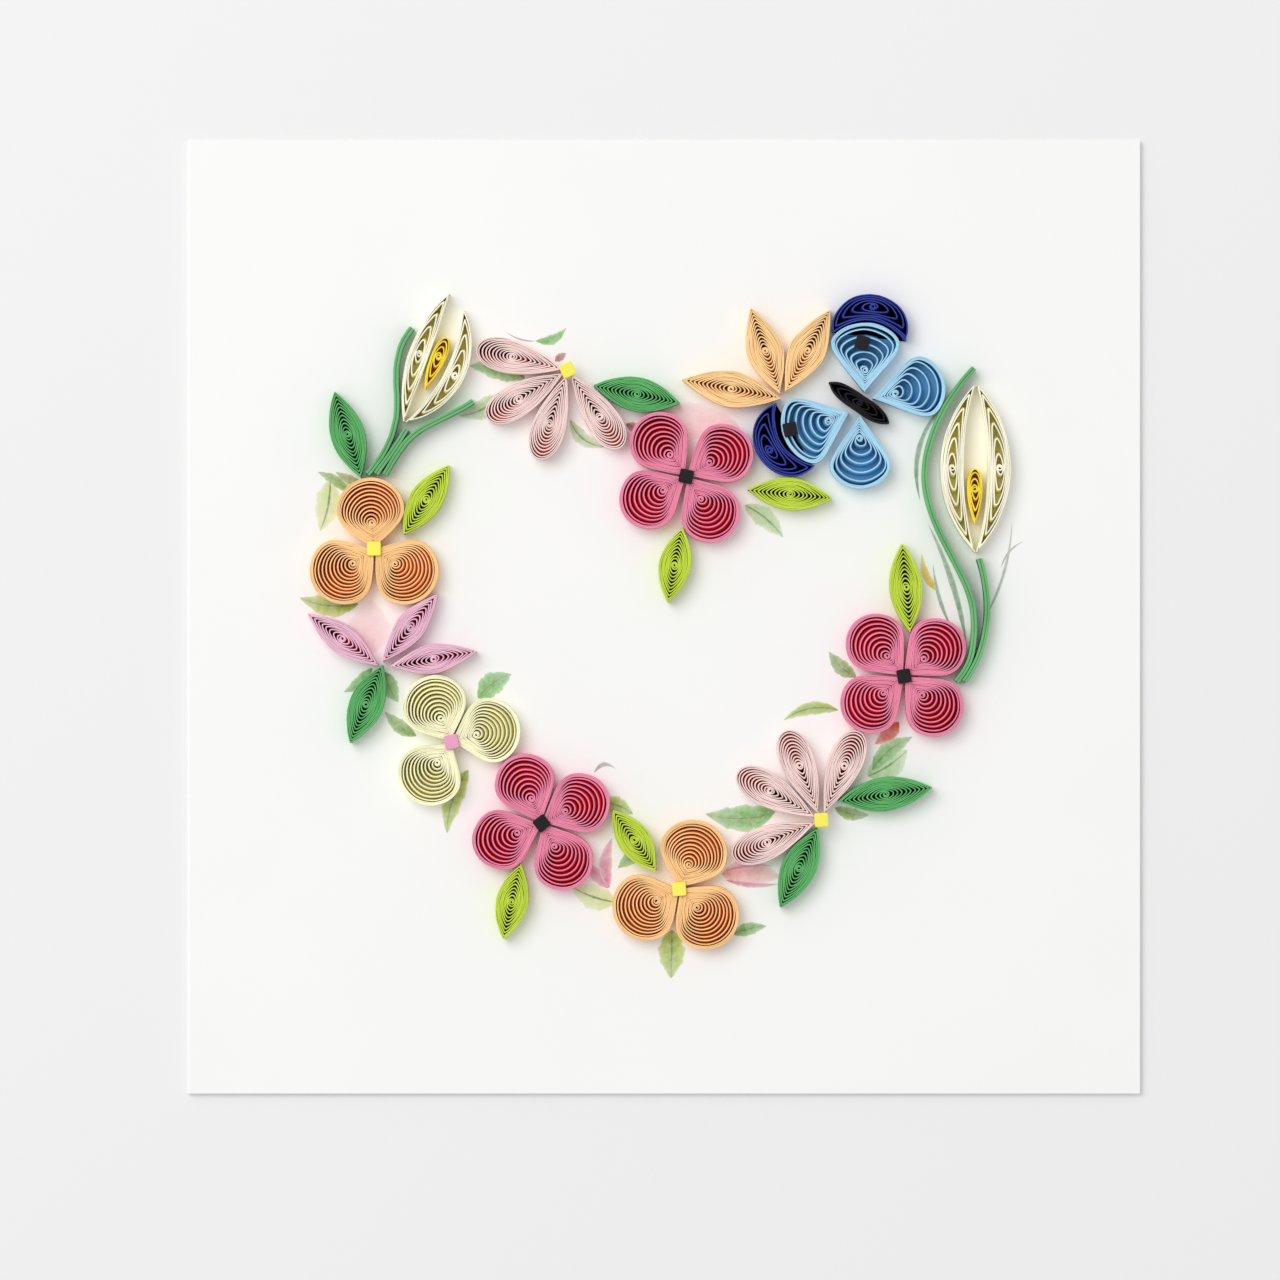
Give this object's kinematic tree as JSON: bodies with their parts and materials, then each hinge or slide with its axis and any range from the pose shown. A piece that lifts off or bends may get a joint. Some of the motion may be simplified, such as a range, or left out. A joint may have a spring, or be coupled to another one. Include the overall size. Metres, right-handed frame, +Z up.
{
  "type": "quilled paper wreath",
  "caption": "Heart-shaped wreath of quilled paper flowers, leaves and a butterfly, glued on edge to a folded square greeting card.",
  "frame": {"origin": "middle of the card's back panel, on the surface the card lies on", "axes": "+Z up out of the card's front, +Y to the card's top edge, +X to its right edge, with the fold at -X"},
  "size_m": [0.1524, 0.1524, 0.0047],
  "materials": {
    "card": "smooth white card with a soft watercolour print",
    "pink": "matt coloured paper, lighter on its cut edges",
    "orange": "matt coloured paper, lighter on its cut edges",
    "cream": "matt coloured paper, lighter on its cut edges",
    "daisy": "matt coloured paper, lighter on its cut edges",
    "apricot": "matt coloured paper, lighter on its cut edges",
    "lilac": "matt coloured paper, lighter on its cut edges",
    "dark_leaf": "matt coloured paper, lighter on its cut edges",
    "light_leaf": "matt coloured paper, lighter on its cut edges",
    "calla": "matt coloured paper, lighter on its cut edges",
    "spadix": "matt coloured paper, lighter on its cut edges",
    "stem": "matt coloured paper, lighter on its cut edges",
    "wing_light": "matt coloured paper, lighter on its cut edges",
    "wing_dark": "matt coloured paper, lighter on its cut edges",
    "black": "matt black paper",
    "square_yellow": "matt yellow paper",
    "square_pink": "matt pink paper"
  },
  "bodies": {
    "root": {"card": "card", "pink_right_petal_1": "pink", "pink_right_petal_2": "pink", "pink_right_petal_3": "pink", "pink_right_petal_4": "pink", "pink_top_petal_1": "pink", "pink_top_petal_2": "pink", "pink_top_petal_3": "pink", "pink_top_petal_4": "pink", "pink_low_petal_1": "pink", "pink_low_petal_2": "pink", "pink_low_petal_3": "pink", "pink_low_petal_4": "pink", "daisy_left_petal_1": "daisy", "daisy_left_petal_2": "daisy", "daisy_left_petal_3": "daisy", "daisy_left_petal_4": "daisy", "daisy_right_petal_1": "daisy", "daisy_right_petal_2": "daisy", "daisy_right_petal_3": "daisy", "daisy_right_petal_4": "daisy", "orange_left_petal_1": "orange", "orange_left_petal_2": "orange", "orange_left_petal_3": "orange", "orange_low_petal_1": "orange", "orange_low_petal_2": "orange", "orange_low_petal_3": "orange", "cream_petal_1": "cream", "cream_petal_2": "cream", "cream_petal_3": "cream", "apricot_tulip_petal_1": "apricot", "apricot_tulip_petal_2": "apricot", "apricot_tulip_petal_3": "apricot", "lilac_tulip_petal_1": "lilac", "lilac_tulip_petal_2": "lilac", "lilac_tulip_petal_3": "lilac", "leaf_calla_left": "dark_leaf", "leaf_lilac": "dark_leaf", "leaf_daisy_left": "dark_leaf", "leaf_daisy_right_upper": "dark_leaf", "leaf_daisy_right_lower": "dark_leaf", "leaf_orange_left": "light_leaf", "leaf_pink_low": "light_leaf", "leaf_orange_low": "light_leaf", "leaf_pink_right": "light_leaf", "leaf_pink_top_right": "light_leaf", "leaf_pink_top_lower": "light_leaf", "calla_right_spathe": "calla", "calla_left_spathe": "calla", "calla_spadices": "spadix", "stems_right": "stem", "stems_left": "stem", "butterfly_body": "black", "butterfly_fore_wings": "wing_light", "butterfly_hind_wings": "wing_light", "butterfly_wing_tips": "wing_dark", "squares_black": "black", "squares_yellow": "square_yellow", "squares_pink": "square_pink"}
  },
  "joints": []
}
